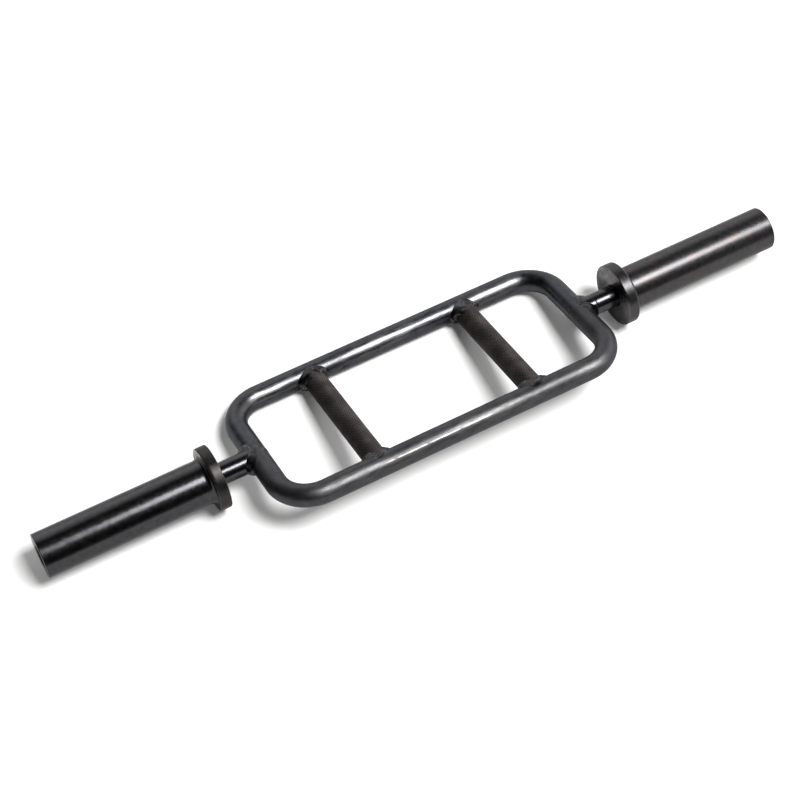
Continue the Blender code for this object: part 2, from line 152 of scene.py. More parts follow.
# A mesh object from points and faces, turned outwards by the sign of its volume, and put on its CAD body.
def makePiece(name, points, faces, finish, body, replaced, flat=False, values=None):
    points = np.clip(np.asarray(points, float).reshape(-1, 3), np.array(cadBox[0]), np.array(cadBox[1]))
    volume = 0.0
    for group in faces:
        for k in range(1, group.shape[1] - 1):
            a, b, c = points[group[:, 0]], points[group[:, k]], points[group[:, k + 1]]
            volume += np.einsum("ij,ij->", a, np.cross(b, c))
    if volume < 0:
        faces = [group[:, ::-1] for group in faces]
    corners = np.concatenate([group.ravel() for group in faces]).astype(np.int32)
    totals = np.concatenate([np.full(len(group), group.shape[1]) for group in faces]).astype(np.int32)
    mesh = bpy.data.meshes.new(name)
    mesh.vertices.add(len(points))
    mesh.vertices.foreach_set("co", points.astype(np.float32).ravel())
    mesh.loops.add(len(corners))
    mesh.loops.foreach_set("vertex_index", corners)
    mesh.polygons.add(len(totals))
    mesh.polygons.foreach_set("loop_start", np.concatenate(([0], np.cumsum(totals)[:-1])).astype(np.int32))
    mesh.update(calc_edges=True)
    if mesh.validate():
        print(name, "had faces that needed mending")
    if flat:
        mesh.shade_flat()
    else:
        mesh.shade_smooth()
        mesh.set_sharp_from_angle(angle=math.radians(40))
    for key, data in (values or {}).items():
        kind, field = ("FLOAT_VECTOR", "vector") if np.ndim(data) == 2 else ("FLOAT", "value")
        layer = mesh.attributes.new(key, kind, "POINT")
        layer.data.foreach_set(field, np.asarray(data, np.float32).ravel())
    mesh.materials.append(finishes[finish])
    piece = bpy.data.objects.new(name, mesh)
    bpy.context.scene.collection.objects.link(piece)
    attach(piece, body)
    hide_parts(replaced)


# A turned shape: each (radius, distance) of a closed profile becomes a ring about the sleeves' axis at that
# distance out from the bar's middle.
def turnedPiece(name, profile, columns, sign, finish, body, replaced, values=None):
    grid = axisPoint(sign * profile[:, 1:], profile[:, :1], fullTurn(columns))
    makePiece(name, grid, [gridFaces(len(grid), columns, True)], finish, body, replaced, values=values)


# The linear colour of an sRGB hex value: c / 12.92 up to 0.04045, and ((c + 0.055) / 1.055) ^ 2.4 above.
def hexColour(text):
    parts = [int(text[i:i + 2], 16) / 255 for i in (1, 3, 5)]
    return (*[c / 12.92 if c <= 0.04045 else ((c + 0.055) / 1.055) ** 2.4 for c in parts], 1.0)


# Adds a node with its settings. A value that is a node or a socket is linked to that input, with a node's
# first output, a hex colour is turned to linear, and any other value is set as it is.
def add(tree, kind, values=None, **settings):
    made = tree.nodes.new(kind)
    for key, value in settings.items():
        setattr(made, key, value)
    for key, value in (values or {}).items():
        if isinstance(value, bpy.types.Node):
            value = value.outputs[0]
        if isinstance(value, bpy.types.NodeSocket):
            tree.links.new(value, made.inputs[key])
        else:
            made.inputs[key].default_value = hexColour(value) if isinstance(value, str) else value
    return made


# An empty node material, with the Object coordinates that its patterns read.
def newFinish(name):
    material = bpy.data.materials.new(name)
    material.use_nodes = True
    tree = material.node_tree
    tree.nodes.clear()
    return material, tree, add(tree, "ShaderNodeTexCoord").outputs["Object"]


# The shader that every metal here ends in: layers of (share, colour) over the look's dark colour, and bumps
# of (height, strength, depth in millimetres), each on the one before. The edge colour tints glancing
# reflections.
def metalSkin(tree, look, layers, roughness, bumps):
    colour, normal = look["dark"], {}
    for share, layer in layers:
        colour = add(tree, "ShaderNodeMix", {0: share, 6: colour, 7: layer}, data_type="RGBA").outputs[2]
    for height, strength, depth in bumps:
        normal = {"Normal": add(tree, "ShaderNodeBump", {"Height": height, "Strength": strength,
                                                         "Distance": depth / 1000, **normal})}
    shader = add(tree, "ShaderNodeBsdfPrincipled", {"Base Color": colour, "Roughness": roughness,
                                                    "Metallic": 1.0, "Specular Tint": look["edge"], **normal})
    add(tree, "ShaderNodeOutputMaterial", {"Surface": shader})


# Noise scale whose features are about this many millimetres across.
def perMetre(millimetres):
    return 1000.0 / millimetres


# Black oxide on drawn and bent steel bar: a dark, satin metal skin, cloudy from the bath, with lengthwise
# draw marks that make the edges of its highlight ragged, dark scale on the inner side of the rails, and
# rubbed lighter and drier along their top. There the lighter worn colour is laid along the lamp's highlight,
# so it is partly a painted highlight. A thin light line down the near rail's highlight is a scuff and a
# painted highlight. Sizes are in millimetres.
# the bare colour is the near rail's scuff line, which is also a painted highlight on its streak
bentBar = {"scuffAndGlint": "#C9C0B6", "edge": "#D2D2D2", "wornRough": 0.03, "scaleStretch": 0.35}
# the worn colour below is rubbed wear and also a painted highlight along the rails' streak
frameLooks = {
    "near": {**bentBar, "name": "blackOxideSatinDry", "dark": "#3E3E41", "light": "#4A4A4D",
             "stain": "#47433F", "heat": "#303032", "scale": "#332E2B", "worn": "#6C6B6B",
             "drawStretch": 0.14, "scaleShare": 0.5,
             "sizes": {"cloud": 12.0, "grain": 1.0, "draw": 2.6, "stain": 30.0, "scale": 9.0},
             "rough": (0.40, 0.49), "dry": 0.08, "grainDepth": 0.20, "drawDepth": 0.10},
    "far": {**bentBar, "name": "blackOxideSatin", "dark": "#3A3B3F", "light": "#47484D",
            "stain": "#433F3C", "heat": "#2C2C2E", "scale": "#1F1B19", "worn": "#7D7D7E",
            "drawStretch": 0.10, "scaleShare": 0.85,
            "sizes": {"cloud": 9.0, "grain": 1.0, "draw": 2.6, "stain": 30.0, "scale": 7.0},
            "rough": (0.29, 0.40), "dry": 0.07, "grainDepth": 0.12, "drawDepth": 0.16},
}


def frameFinish(look):
    material, tree, place = newFinish(look["name"])
    heat, crust, wearAndSheen, scuffAndGlint = (add(tree, "ShaderNodeAttribute", attribute_name=key).outputs["Fac"]
                               for key in ("heat", "crust", "wearAndSheen", "scuffAndGlint"))
    barPlace = add(tree, "ShaderNodeAttribute", attribute_name="barPlace").outputs["Vector"]
    drawn, rolled = (add(tree, "ShaderNodeMapping", {"Vector": barPlace, "Scale": (look[key], 1.0, 1.0)})
                     for key in ("drawStretch", "scaleStretch"))
    cloud, grain, stain, draw, scale = (
        add(tree, "ShaderNodeTexNoise", {"Vector": vector, "Scale": perMetre(look["sizes"][key]),
                                         "Detail": detail, "Roughness": rough, "Distortion": distortion})
        for key, vector, detail, rough, distortion in (
            ("cloud", place, 4.0, 0.6, 0.0), ("grain", place, 3.0, 0.7, 0.0),
            ("stain", place, 5.0, 0.65, 0.6), ("draw", drawn, 5.0, 0.6, 0.0),
            ("scale", rolled, 5.0, 0.7, 0.5)))
    cloudy = add(tree, "ShaderNodeMapRange", {0: cloud, 1: 0.38, 2: 0.66})
    stained = add(tree, "ShaderNodeMapRange", {0: stain, 1: 0.54, 2: 0.70, 4: 0.7})
    scaled = add(tree, "ShaderNodeMapRange", {0: scale, 1: 0.56, 2: 0.64, 4: look["scaleShare"]})
    crusted = add(tree, "ShaderNodeMath", {0: scaled, 1: crust}, operation="MULTIPLY")
    # the wear mask, times the draw marks, is rubbed wear and also a painted highlight, in the worn colour
    rubbed = add(tree, "ShaderNodeMapRange", {0: draw, 1: 0.38, 2: 0.54, 3: 0.25})
    worn = add(tree, "ShaderNodeMath", {0: wearAndSheen, 1: rubbed}, operation="MULTIPLY")
    low, high = look["rough"]
    smooth = add(tree, "ShaderNodeMapRange", {0: cloud, 1: 0.3, 2: 0.7, 3: low, 4: high})
    dry = add(tree, "ShaderNodeMapRange", {0: grain, 1: 0.3, 2: 0.7, 3: -look["dry"], 4: look["dry"]})
    skin = add(tree, "ShaderNodeMath", {0: smooth, 1: dry}, operation="ADD")
    roughness = add(tree, "ShaderNodeMath", {0: worn, 1: look["wornRough"], 2: skin},
                    operation="MULTIPLY_ADD")
    layers = [(cloudy, look["light"]), (stained, look["stain"]), (heat, look["heat"]),
              (crusted, look["scale"]), (worn, look["worn"]), (scuffAndGlint, look["scuffAndGlint"])]
    bumps = [(grain, 0.4, look["grainDepth"]), (draw, 0.5, look["drawDepth"])]
    metalSkin(tree, look, layers, roughness, bumps)
    return material


# Black oxide on turned steel, sealed with oil: a nearly black, semi-gloss metal skin with a warm cast, fine
# tool marks round it, and clouds where the oil has dried, which break up its long highlight. The right sleeve
# and flange are given lighter colours than the left ones: painted light on the right and painted shade on the
# left. The right sleeve's brown patches are its own. Sizes and depths are in millimetres; the tool marks are
# drawn coarser than real ones, so that they show.
turnedLooks = {
    "leftSleeve": {"name": "blackOxideSemiGlossShaded", "dark": "#373739", "light": "#434345", "warm": "#443C39",
                   "warmShare": 0.35, "sizes": {"mark": 0.8, "cloud": 5.0, "warm": 14.0},
                   "mark": 0.006, "skin": 0.035, "rough": (0.20, 0.27), "edge": "#D2D2D2"},
    "rightSleeve": {"name": "blackOxideSemiGlossLitBrowned", "dark": "#3E3D3E", "light": "#474648",
                    "warm": "#4C4340", "warmShare": 0.6, "sizes": {"mark": 0.8, "cloud": 5.5, "warm": 18.0},
                    "mark": 0.006, "skin": 0.035, "rough": (0.27, 0.33), "edge": "#D2D2D2"},
    # the face colours lighten the flanges' flat faces: rubbing and a painted reflection
    "leftFlange": {"name": "blackOxideTurnedDryShaded", "dark": "#2E2D2D", "light": "#3B3938", "warm": "#3F3733",
                   "face": "#B4B2B0", "warmShare": 0.5, "sizes": {"mark": 0.9, "cloud": 5.0, "warm": 14.0},
                   "mark": 0.03, "skin": 0.06, "rough": (0.34, 0.46), "edge": "#D2D2D2"},
    "rightFlange": {"name": "blackOxideTurnedOiledLit", "dark": "#3A3A3B", "light": "#454445", "warm": "#4A4240",
                    "face": "#A29DA1", "warmShare": 0.5, "sizes": {"mark": 0.9, "cloud": 5.0, "warm": 14.0},
                    "mark": 0.02, "skin": 0.05, "rough": (0.29, 0.39), "edge": "#D2D2D2"},
    "neck": {"name": "blackOxideGround", "dark": "#3B3B3E", "light": "#434346", "warm": "#444140",
             "warmShare": 0.4, "sizes": {"mark": 0.7, "cloud": 5.0, "warm": 14.0},
             "mark": 0.005, "skin": 0.04, "rough": (0.19, 0.26), "edge": "#D2D2D2"},
}


def turnedFinish(look):
    material, tree, place = newFinish(look["name"])
    centred = add(tree, "ShaderNodeMapping", {"Vector": place, "Location": (0.0, 0.0, -axisHeight)})
    along, y, z = add(tree, "ShaderNodeSeparateXYZ", {0: centred}).outputs
    section = add(tree, "ShaderNodeCombineXYZ", {1: y, 2: z})
    radius = add(tree, "ShaderNodeVectorMath", {0: section}, operation="LENGTH").outputs["Value"]
    lathe = add(tree, "ShaderNodeCombineXYZ", {0: along, 1: radius})
    mark, cloud, warmth = (
        add(tree, "ShaderNodeTexNoise", {"Vector": vector, "Scale": perMetre(look["sizes"][key]),
                                         "Detail": detail, "Roughness": rough, "Distortion": distortion})
        for key, vector, detail, rough, distortion in (
            ("mark", lathe, 3.0, 0.7, 0.0), ("cloud", place, 5.0, 0.65, 0.3), ("warm", place, 4.0, 0.6, 0.0)))
    cloudy = add(tree, "ShaderNodeMapRange", {0: cloud, 1: 0.36, 2: 0.66})
    warm = add(tree, "ShaderNodeMapRange", {0: warmth, 1: 0.52, 2: 0.68, 4: look["warmShare"]})
    # the flat faces of the flanges are rubbed by the plates, in smears, and smoother for it; their lighter
    # face colour also paints in a reflection
    face = add(tree, "ShaderNodeAttribute", attribute_name="face").outputs["Fac"]
    smear = add(tree, "ShaderNodeMapRange", {0: warmth, 1: 0.38, 2: 0.60, 3: 0.25})
    rubbed = add(tree, "ShaderNodeMath", {0: face, 1: smear}, operation="MULTIPLY")
    low, high = look["rough"]
    skin = add(tree, "ShaderNodeMapRange", {0: cloud, 1: 0.32, 2: 0.7, 3: low, 4: high})
    roughness = add(tree, "ShaderNodeMath", {0: face, 1: -0.10, 2: skin}, operation="MULTIPLY_ADD")
    layers = [(cloudy, look["light"]), (warm, look["warm"]), (rubbed, look.get("face", look["light"]))]
    metalSkin(tree, look, layers, roughness, [(mark, 0.4, look["mark"]), (cloud, 0.4, look["skin"])])
    return material


# Black oxide on knurled steel: dry and nearly black in the grooves, browned and slightly rubbed on the
# crests.
knurlLook = {"name": "blackOxideKnurled", "dark": "#0C0B0B", "crest": "#625C5B", "rubbed": "#7D7675",
             "edge": "#C8C8C8", "patch": 18.0, "rough": 0.44}


def knurlFinish(look):
    material, tree, place = newFinish(look["name"])
    # the crest attribute holds the knurl's height and also the painted shade on the side away from the lamp
    height = add(tree, "ShaderNodeAttribute", attribute_name="crest").outputs["Fac"]
    patch = add(tree, "ShaderNodeTexNoise", {"Vector": place, "Scale": perMetre(look["patch"]),
                                            "Detail": 4.0})
    worn = add(tree, "ShaderNodeMapRange", {0: patch, 1: 0.42, 2: 0.66})
    crest = add(tree, "ShaderNodeMix", {0: worn, 6: look["crest"], 7: look["rubbed"]}, data_type="RGBA")
    metalSkin(tree, look, [(height, crest.outputs[2])], look["rough"], [])
    return material


# Weld metal blackened with the rest: a smooth, wet-looking skin on lumpy beads, blued and browned in patches.
weldLook = {"name": "blackOxideWeld", "dark": "#2C2C2D", "blue": "#4A4B4F", "brown": "#3F3937",
            "edge": "#D2D2D2", "patch": 6.0, "pit": 1.2, "pitDepth": 0.09, "rough": (0.20, 0.40)}


def weldFinish(look):
    material, tree, place = newFinish(look["name"])
    patch = add(tree, "ShaderNodeTexNoise", {"Vector": place, "Scale": perMetre(look["patch"]), "Detail": 4.0,
                                            "Distortion": 0.8})
    pits = add(tree, "ShaderNodeTexNoise", {"Vector": place, "Scale": perMetre(look["pit"]), "Detail": 3.0})
    blued = add(tree, "ShaderNodeMapRange", {0: patch, 1: 0.45, 2: 0.62})
    browned = add(tree, "ShaderNodeMapRange", {0: patch, 1: 0.48, 2: 0.34})
    low, high = look["rough"]
    roughness = add(tree, "ShaderNodeMapRange", {0: pits, 1: 0.35, 2: 0.7, 3: low, 4: high})
    metalSkin(tree, look, [(blued, look["blue"]), (browned, look["brown"])], roughness,
              [(pits, 0.5, look["pitDepth"])])
    return material


# Blackened steel fasteners and sintered bronze: bare metal under a thin film, with rolled or pressed grain.
plainLooks = {
    "fastener": {"name": "blackenedFastenerSteel", "light": "#4A4A4C", "dark": "#242427", "edge": "#FFFFFF",
                 "grain": 0.9, "patch": 5.0, "grainDepth": 0.05, "rough": (0.28, 0.45)},
    "bronze": {"name": "sinteredBronze", "light": "#B5894F", "dark": "#7C5526", "edge": "#FFFFFF",
               "grain": 0.9, "patch": 5.0, "grainDepth": 0.05, "rough": (0.34, 0.55)},
}


def plainFinish(look):
    material, tree, place = newFinish(look["name"])
    grain = add(tree, "ShaderNodeTexNoise", {"Vector": place, "Scale": perMetre(look["grain"]), "Detail": 4.0,
                                            "Roughness": 0.7})
    patch = add(tree, "ShaderNodeTexNoise", {"Vector": place, "Scale": perMetre(look["patch"]),
                                            "Detail": 4.0})
    shade = add(tree, "ShaderNodeMapRange", {0: patch, 1: 0.35, 2: 0.68})
    low, high = look["rough"]
    roughness = add(tree, "ShaderNodeMapRange", {0: grain, 1: 0.3, 2: 0.7, 3: low, 4: high})
    metalSkin(tree, look, [(shade, look["light"])], roughness, [(grain, 0.3, look["grainDepth"])])
    return material


finishes = {"knurl": knurlFinish(knurlLook), "weld": weldFinish(weldLook)}
for makeFinish, looks in ((frameFinish, frameLooks), (turnedFinish, turnedLooks), (plainFinish, plainLooks)):
    finishes.update({key: makeFinish(look) for key, look in looks.items()})
print("finishes made")


# Frame halves
frameBar = {"bendRadius": 0.040, "seam": 0.00015, "step": 0.00125, "oval": 0.018, "heatReach": (0.016, 0.030),
            # the wear share and its direction lay a lighter band where the highlight falls: wear and a
            # painted highlight
            "wearAndSheen": {"near": 0.8, "far": 1.0}, "wearAndSheenTowards": (0.0, -0.47, 0.88),
            "scuffAndGlintShare": {"near": 1.0, "far": 0.0}, "scuffAndGlintFrom": -0.10, "scuffAndGlintTo": 0.045, "scuffAndGlintFade": 0.02,
            "scuffAndGlintColumn": 15, "scuffAndGlintWidth": 0.035}


# One rail with its bends and half of each end tube. The path runs out along one end, round a quarter turn,
# along the rail, and back the same way; with heading h its tangent is (sin h, cos h). Each point of the
# skin is the path plus the bar's radius times (cos b outwards + sin b level), and the section is pressed a
# little oval through the bends.
def frameHalf(name, end, side, size, replaced):
    bend, columns = size["bendRadius"], smallColumns
    leg = halfWidth - bend - size["seam"]
    quarter = math.pi / 2 * bend
    rail = 2 * (frameEnd - bend)
    total = 2 * (leg + quarter) + rail
    path = np.linspace(0, total, int(total / size["step"]) + 1)
    turn1 = np.clip((path - leg) / bend, 0, math.pi / 2)
    turn2 = np.clip((path - leg - quarter - rail) / bend, 0, math.pi / 2)
    heading = turn1 + turn2
    railPart = np.clip(path - leg - quarter, 0, rail)
    backLeg = np.clip(path - leg - 2 * quarter - rail, 0, leg)
    along = -frameEnd + bend * (1 - np.cos(turn1)) + railPart + bend * np.sin(turn2)
    across = (size["seam"] + np.clip(path, 0, leg) + bend * np.sin(turn1) - bend * (1 - np.cos(turn2))
              - backLeg)
    press = 1 - size["oval"] * (np.sin(turn1 * 2) ** 2 + np.sin(turn2 * 2) ** 2)
    around = fullTurn(columns)
    outwards = barRadius * press[:, None] * np.cos(around)
    level = barRadius * np.sin(around) * np.ones_like(outwards)
    skinAlong = along[:, None] - np.cos(heading)[:, None] * outwards
    skinAcross = across[:, None] + np.sin(heading)[:, None] * outwards
    grid = framePoint(skinAlong, side * skinAcross, level)

    # scorched round the four welds
    joints = [(sign * gripPlace, halfWidth - barRadius, 0) for _, sign in sides]
    joints += [(sign * (frameEnd + barRadius), 0, 0) for _, sign in sides]
    local = np.stack((skinAlong, skinAcross, level), axis=-1)
    nearest = np.min(np.linalg.norm(local[..., None, :] - np.array(joints), axis=-1), axis=-1)
    heat = 1 - smoothStep(nearest, *size["heatReach"])

    # rubbed in patches along the top of the rail, on the side turned to the lamp's highlight: wear and a
    # painted highlight
    normal = grid - framePoint(along, side * across, 0.0)[:, None, :]
    facing = (normal / np.linalg.norm(normal, axis=-1)[..., None]) @ np.array(size["wearAndSheenTowards"])
    patches = 0.65 + 0.45 * waves((path[:, None] * 40, around[None, :]), 11 + side)
    wearAndSheen = smoothStep(np.sin(heading), 0.85, 1.0)[:, None] * smoothStep(facing, 0.72, 0.97) * patches
    wearAndSheen = np.clip(wearAndSheen, 0, 1) * size["wearAndSheen"][end]

    # one thin bright line down the streak of the near rail, fading in and out along it: a scuff and a painted
    # highlight
    line = np.exp(-((around - around[size["scuffAndGlintColumn"]]) / size["scuffAndGlintWidth"]) ** 2)[None, :]
    start, stop, fade = size["scuffAndGlintFrom"], size["scuffAndGlintTo"], size["scuffAndGlintFade"]
    reach = smoothStep(along, start, start + fade) * smoothStep(-along, -stop, fade - stop)
    onRail = smoothStep(np.sin(heading), 0.9, 1.0)
    breaks = np.clip(0.75 + 0.5 * waves((path * 160,), 5), 0, 1)
    scuffAndGlint = size["scuffAndGlintShare"][end] * line * (reach * onRail * breaks)[:, None]

    # dark scale on the rail, most on the side towards the frame's middle
    inner = 0.3 + 0.7 * smoothStep(-np.cos(around), -0.3, 0.5)
    crust = smoothStep(np.sin(heading), 0.6, 0.97)[:, None] * inner

    values = {"heat": (heat, 1), "wearAndSheen": (wearAndSheen, 0), "scuffAndGlint": (scuffAndGlint, 0), "crust": (crust, 0)}
    values = {key: np.append(data.ravel(), (tip, tip)) for key, (data, tip) in values.items()}
    barPlace = np.stack(np.broadcast_arrays(path[:, None] + (1 + side), outwards, level), axis=-1)
    values["barPlace"] = np.concatenate((barPlace.reshape(-1, 3), np.zeros((2, 3))))
    tips = [framePoint(along[k], side * across[k], 0.0) for k in (0, -1)]
    makePiece(name, np.concatenate((grid.reshape(-1, 3), tips)), cappedFaces(len(path), columns), end,
              "frame", replaced, values=values)


for end, endSign in ends:
    frameHalf(f"bentBar{end}", end, endSign, frameBar, f"frame_half_{end}")
print("frame halves made")


# Grips
grip = {"endRadius": 0.0125, "knurlRadius": 0.013, "knurlHalf": 0.0775, "endSteps": (0.0006, 0.0003),
        "starts": 34, "perStart": 6, "lead": 0.0030, "perLead": 4, "depth": 0.00040, "crestFlat": 0.20,
        # grime is how much darker the crests are painted on the side away from the lamp: painted shade
        "fade": 0.0012, "plainCrest": 0.45, "paintedShade": 0.4}


# How far a round bar's skin stands out from its own centreline at a height above it.
def saddleReach(level, gap=0.0):
    return np.sqrt((barRadius + gap) ** 2 - level ** 2)


# A cross bar in rings about its axis: a saddle at each end, plain ends, and a diamond knurl between them.
# Two sets of grooves, u/lead + turn*starts and u/lead - turn*starts, cross each other, and the height over
# a groove is the smaller of the two distances to a whole number, cut off flat near the crest.
def knurledGrip(name, x, size, replaced):
    columns = size["starts"] * size["perStart"]
    around = fullTurn(columns)
    step = size["lead"] / size["perLead"]
    half = round(size["knurlHalf"] / step)
    u = np.arange(-half, half + 1)[:, None] * step
    starts = around[None, :] / math.tau * size["starts"]
    one, two = u / size["lead"] + starts, u / size["lead"] - starts
    nearest = np.minimum(np.abs(one - np.round(one)), np.abs(two - np.round(two)))
    crestFrom = 0.5 - size["crestFlat"] / 2
    height = np.minimum(nearest, crestFrom) / crestFrom
    fade = smoothStep(half * step - np.abs(u), 0.0, size["fade"])
    knurl = size["knurlRadius"] - size["depth"] * (1 - height) * fade

    plain, level = size["endRadius"], np.sin(around)[None, :]
    radii = [np.full((1, columns), plain * share) for share in (*saddleRings, 1.0, 1.0)]
    places = [-(halfWidth - saddleReach(plain * share * level, saddleGap)) for share in saddleRings]
    places += [np.full((1, columns), -(half * step + beyond)) for beyond in size["endSteps"]]
    radiusGrid = np.concatenate(radii + [knurl] + radii[::-1])
    placeGrid = np.concatenate(places + [u * np.ones((1, columns))] + [-place for place in places[::-1]])
    grid = framePoint(x + radiusGrid * np.cos(around), placeGrid, radiusGrid * np.sin(around))
    rows, plainRows = len(grid), len(radii)
    tips = [framePoint(x, sign * (halfWidth - barRadius - saddleGap), 0.0) for sign in (-1, 1)]

    # each cell of the knurl is split along the groove that crosses it
    quads, *caps = cappedFaces(rows, columns)
    quads = quads.reshape(rows - 1, columns, 4)
    body = quads[plainRows:-plainRows].reshape(-1, 4)
    plainFaces = np.concatenate((quads[:plainRows].reshape(-1, 4), quads[-plainRows:].reshape(-1, 4)))
    middle, startMiddle = (u[:-1] + step / 2) / size["lead"], starts + 0.5 / size["perStart"]
    one, two = middle + startMiddle, middle - startMiddle
    alongOne = (np.abs(one - np.round(one)) < np.abs(two - np.round(two))).reshape(-1)
    back, forward = body[alongOne], body[~alongOne]
    faces = [plainFaces, back[:, [0, 1, 3]], back[:, [1, 2, 3]], forward[:, [0, 1, 2]],
             forward[:, [0, 2, 3]], *caps]

    # the crests are painted darker on the side away from the lamp: painted shade
    sideShade = 1 - size["paintedShade"] * (1 - smoothStep(np.cos(around), -0.5, 0.35))[None, :]
    plainCrest = np.full((plainRows, columns), size["plainCrest"])
    crest = np.concatenate((plainCrest, (height * fade + size["plainCrest"] * (1 - fade)) * sideShade, plainCrest))
    values = {"crest": np.append(crest.ravel(), (size["plainCrest"],) * 2)}
    makePiece(name, np.concatenate((grid.reshape(-1, 3), tips)), faces, "knurl", "frame",
              replaced, flat=True, values=values)


for sideName, sign in sides:
    knurledGrip(f"knurledGrip{sideName}", sign * gripPlace, grip, f"grip_{sideName}")
print("grips made")


# Welds
gripWelds = {
    "near": {"radius": 0.0125, "legBar": 0.0060, "legRail": 0.0058, "crown": 0.0006, "ripple": 0.00010,
             "pitch": 0.0024, "lump": 0.0004, "uneven": 0.20, "overTop": 0.25, "underTop": 0.0},
    "far": {"radius": 0.0125, "legBar": 0.0056, "legRail": 0.0060, "crown": 0.0009, "ripple": 0.00008,
            "pitch": 0.0034, "lump": 0.0009, "uneven": 0.30, "overTop": 1.9, "underTop": 0.8},
}
shaftWeld = {"radius": 0.0125, "legBar": 0.0072, "legRail": 0.0070, "crown": 0.0005, "ripple": 0.00003,
             "pitch": 0.0024, "lump": 0.0002, "uneven": 0.18, "overTop": 0.0, "underTop": 0.0}
bead = {"toeDepth": 0.00012, "seamCover": 0.0002, "rowDepth": 0.0004, "middleDepth": 0.0007}
floorGap = 0.0002           # weld metal stays this far above the floor


# A fillet bead round the saddle where a round bar meets the side of the frame's bar. In the joint's own
# axes (across, level, reach) a point at angle a on the seam is (r cos a, r sin a, the frame bar's reach
# there). The bead's one toe lies a leg's length along the joining bar, the other a leg's length round the
# frame bar, square to the seam on its unrolled skin; on top the first leg grows and the second shrinks by
# overTop and underTop. Between the toes runs the chord, lifted by a crown of sin(pi t), by crescent ripples
# one pitch apart and by slow lumps. Three hidden rows under the skins close it.
def saddleBead(size, seed, rows=220, columns=18):
    angle = np.linspace(0, math.tau, rows, endpoint=False)[:, None]
    t = np.linspace(0, 1, columns)[None, :]
    r = size["radius"]
    barNormal = np.concatenate((np.cos(angle), np.sin(angle), 0 * angle), axis=1)
    seamLevel = r * np.sin(angle)
    seam = np.concatenate((r * np.cos(angle), seamLevel, saddleReach(seamLevel)), axis=1)
    top = np.clip(np.sin(angle), 0, 1) ** 2
    uneven = [1 + size["uneven"] * waves((angle,), seed + k, 6) for k in (0, 1)]
    legBar = size["legBar"] * uneven[0] * (1 + size["overTop"] * top)
    legRail = size["legRail"] * uneven[1] * (1 - size["underTop"] * top)
    toeBar = seam + legBar * np.array((0.0, 0.0, 1.0)) - bead["toeDepth"] * barNormal
    turn = np.arcsin(seamLevel / barRadius)
    slope = np.concatenate((-r * np.sin(angle), r * np.cos(angle) / np.cos(turn)), axis=1)
    square = np.stack((slope[:, 1], -slope[:, 0]), axis=1) / np.linalg.norm(slope, axis=1)[:, None]
    toeAcross = seam[:, :1] + legRail * square[:, :1]
    toeTurn = turn + legRail * square[:, 1:] / barRadius
    inner = barRadius - bead["toeDepth"]
    toeRail = np.concatenate((toeAcross, inner * np.sin(toeTurn), inner * np.cos(toeTurn)), axis=1)
    midTurn = (turn + toeTurn) / 2
    railNormal = np.concatenate((0 * angle, np.sin(midTurn), np.cos(midTurn)), axis=1)
    normal = barNormal + railNormal
    normal /= np.linalg.norm(normal, axis=1)[:, None]
    chord = toeBar[:, None, :] * (1 - t[..., None]) + toeRail[:, None, :] * t[..., None]
    # where both skins run on level the chord would sink into the metal, so the bead is lifted over the seam
    cover = seam + bead["seamCover"] * normal - (toeBar + toeRail) / 2
    sunk = np.maximum(0.0, np.einsum("ij,ij->i", cover, normal))[:, None]
    length = np.concatenate(([0], np.cumsum(np.linalg.norm(np.diff(seam, axis=0), axis=1))))[:, None]
    beads = round((length[-1, 0] + np.linalg.norm(seam[0] - seam[-1])) / size["pitch"])
    phase = math.tau * beads * length / (length[-1, 0] * rows / (rows - 1)) + 2.4 * (2 * t - 1) ** 2
    bulge = np.sin(math.pi * t) ** 0.8
    ripple = size["ripple"] * (np.abs(np.sin(phase / 2)) - 0.6) * bulge
    lumps = size["lump"] * waves((angle, t * 3.1), seed + 2, 8) * bulge
    lift = (size["crown"] + sunk) * bulge + ripple + lumps
    skin = chord + lift[..., None] * normal[:, None, :]
    under = (toeRail - bead["rowDepth"] * railNormal, seam - bead["middleDepth"] * normal,
             toeBar - bead["rowDepth"] * barNormal)
    return np.moveaxis(np.concatenate((skin, np.stack(under, axis=1)), axis=1), -1, 0)


# A bead closed both round its seam and round its section.
def saddleWeld(name, grid, replaced):
    makePiece(name, grid, [gridFaces(*grid.shape[:2], True)], "weld", "frame", replaced)


seeds = iter(range(35, 65, 5))      # one for each bead, in the order of the loop below
for sideName, sign in sides:
    for end, endSign in ends:
        across, level, reach = saddleBead(gripWelds[end], next(seeds))
        room = framePoint(sign * gripPlace + across, endSign * (halfWidth - reach), level)
        room[..., 2] = np.maximum(room[..., 2], floorGap)
        saddleWeld(f"gripWeld{sideName}{end}", room, f"grip_weld_{sideName}_{end}")
    across, level, reach = saddleBead(shaftWeld, next(seeds))
    saddleWeld(f"neckWeld{sideName}", framePoint(sign * (frameEnd + reach), across, level),
               f"shaft_weld_{sideName}")


seamWeld = {"halfWidth": 0.0034, "crown": {"left": 0.0005, "right": 0.0001}, "halfAngle": 1.30,
            "ripple": 0.00006, "pitch": 0.0021, "lump": 0.00010, "sunk": 0.0001, "under": 0.0006}


